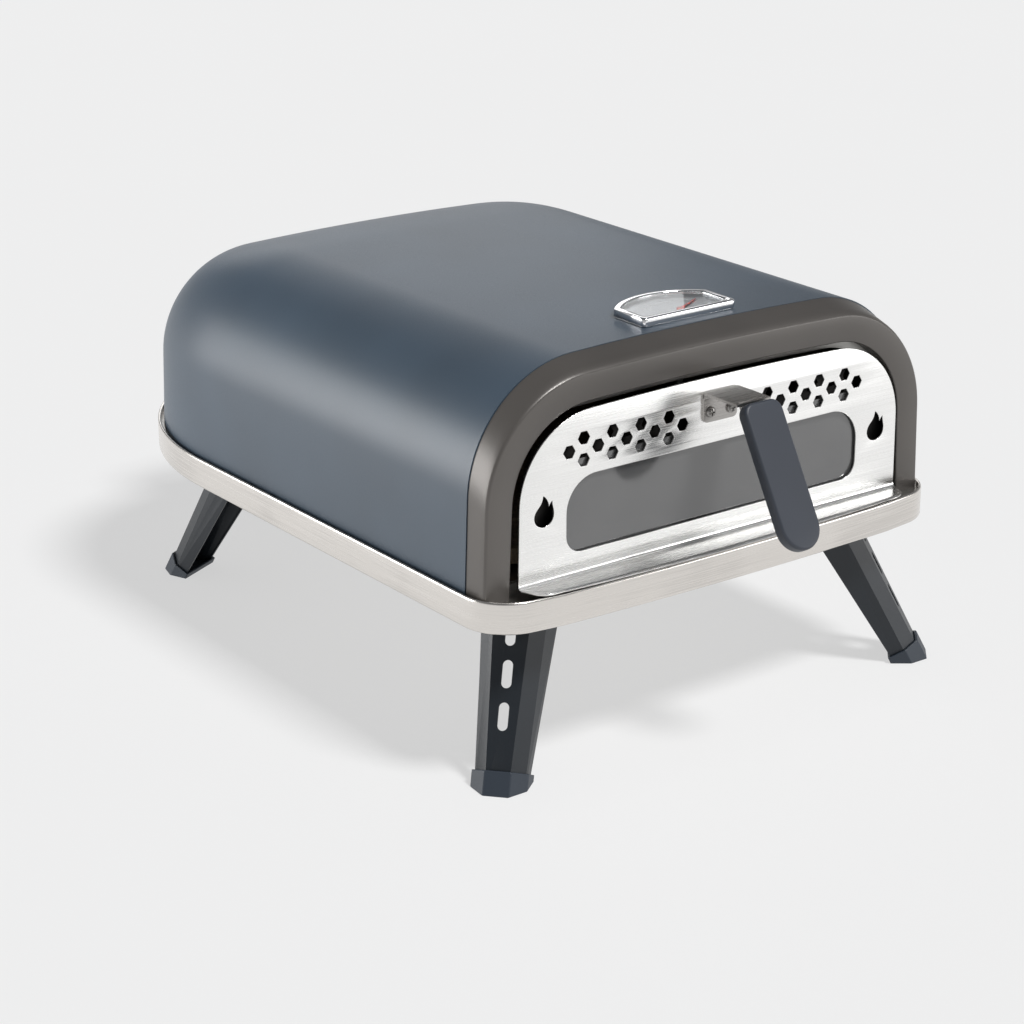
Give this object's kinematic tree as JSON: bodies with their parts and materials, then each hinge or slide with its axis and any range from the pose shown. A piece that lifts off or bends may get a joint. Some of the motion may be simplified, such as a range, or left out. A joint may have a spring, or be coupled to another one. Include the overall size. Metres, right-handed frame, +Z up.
{
  "type": "wood fired pizza oven",
  "caption": "Table-top wood fired pizza oven: domed steel shell on a tray with folding legs, a lift-off glazed door, a lid thermometer and a rear fuel drawer with an air shutter.",
  "frame": {"origin": "centre of the footprint's bounding box, on the ground under the feet", "axes": "+Z up, the door faces -Y, +X to the right as the cook faces the back of the oven"},
  "size_m": [0.4488, 0.7436, 0.3165],
  "materials": {
    "brushed_tray": "brushed",
    "plain_steel": "satin",
    "fastener": "bright",
    "shell_paint": "satin powder coat",
    "frame_paint": "satin bronze grey",
    "blanket": "ceramic fibre blanket",
    "stone": "matt cordierite",
    "bright_trim": "polished",
    "dial": "brushed with printed scale",
    "clear_glass": "clear",
    "needle": "gloss",
    "brushed_door": "brushed",
    "window": "smoked heat resistant",
    "gasket": "matt",
    "grip": "soft touch",
    "leg_paint": "satin powder coat",
    "foot": "matt",
    "grate": "seasoned"
  },
  "bodies": {
    "oven": {"base_rim": "brushed_tray", "base_floor": "plain_steel", "base_screws": "fastener", "leg_brackets": "plain_steel", "leg_pins": "fastener", "outer_shell": "shell_paint", "shell_insulation": "blanket", "front_frame": "frame_paint", "frame_screws": "fastener", "mouth_collar": "plain_steel", "inner_liner": "plain_steel", "floor_insulation": "blanket", "hearth_plate": "plain_steel", "stone_supports": "plain_steel", "pizza_stone": "stone", "flame_baffle": "plain_steel", "gauge_bezel": "bright_trim", "gauge_dial": "dial", "gauge_lens": "clear_glass", "gauge_stem": "plain_steel", "gauge_nut": "plain_steel", "fuel_port": "plain_steel", "fuel_rails": "plain_steel"},
    "door": {"door_plate": "brushed_door", "door_inner_panel": "plain_steel", "door_spacers": "plain_steel", "window_glass": "window", "window_gasket": "gasket", "window_clips": "plain_steel", "handle_bracket": "brushed_door", "handle_grip": "grip", "handle_screws": "fastener", "grip_screws": "fastener"},
    "needle": {"gauge_needle": "needle"},
    "fuel_drawer": {"fuel_drawer_front": "plain_steel", "fuel_basket": "plain_steel", "fuel_grate": "grate", "fuel_drawer_handle": "grip", "shutter_rivet": "fastener"},
    "air_shutter": {"air_shutter": "plain_steel"},
    "leg_front_left": {"leg_front_left": "leg_paint", "foot_front_left": "foot"},
    "leg_front_right": {"leg_front_right": "leg_paint", "foot_front_right": "foot"},
    "leg_back_left": {"leg_back_left": "leg_paint", "foot_back_left": "foot"},
    "leg_back_right": {"leg_back_right": "leg_paint", "foot_back_right": "foot"}
  },
  "joints": [
    {"name": "door_pull", "type": "slide", "parent": "oven", "child": "door", "axis": [0, -1, 0], "range_m": [0, 0.12]},
    {"name": "needle_turn", "type": "hinge", "parent": "oven", "child": "needle", "pos_m": [0, -0.22327, 0.3], "axis": [0, 0, -1], "range_deg": [-128, 0]},
    {"name": "fuel_drawer_slide", "type": "slide", "parent": "oven", "child": "fuel_drawer", "axis": [0, 1, 0], "range_m": [0, 0.125]},
    {"name": "air_shutter_turn", "type": "hinge", "parent": "fuel_drawer", "child": "air_shutter", "pos_m": [0, 0.34623, 0.178], "axis": [0, 1, 0], "range_deg": [0, 44]},
    {"name": "leg_fold_front_left", "type": "hinge", "parent": "oven", "child": "leg_front_left", "pos_m": [-0.148, -0.22277, 0.128], "axis": [0.6691, -0.7431, 0], "range_deg": [0, 117.5]},
    {"name": "leg_fold_front_right", "type": "hinge", "parent": "oven", "child": "leg_front_right", "pos_m": [0.148, -0.22277, 0.128], "axis": [0.6691, 0.7431, 0], "range_deg": [0, 117.5]},
    {"name": "leg_fold_back_left", "type": "hinge", "parent": "oven", "child": "leg_back_left", "pos_m": [-0.133, 0.17123, 0.128], "axis": [-0.891, -0.454, 0], "range_deg": [0, 117.5]},
    {"name": "leg_fold_back_right", "type": "hinge", "parent": "oven", "child": "leg_back_right", "pos_m": [0.133, 0.17123, 0.128], "axis": [-0.891, 0.454, 0], "range_deg": [0, 117.5]}
  ]
}
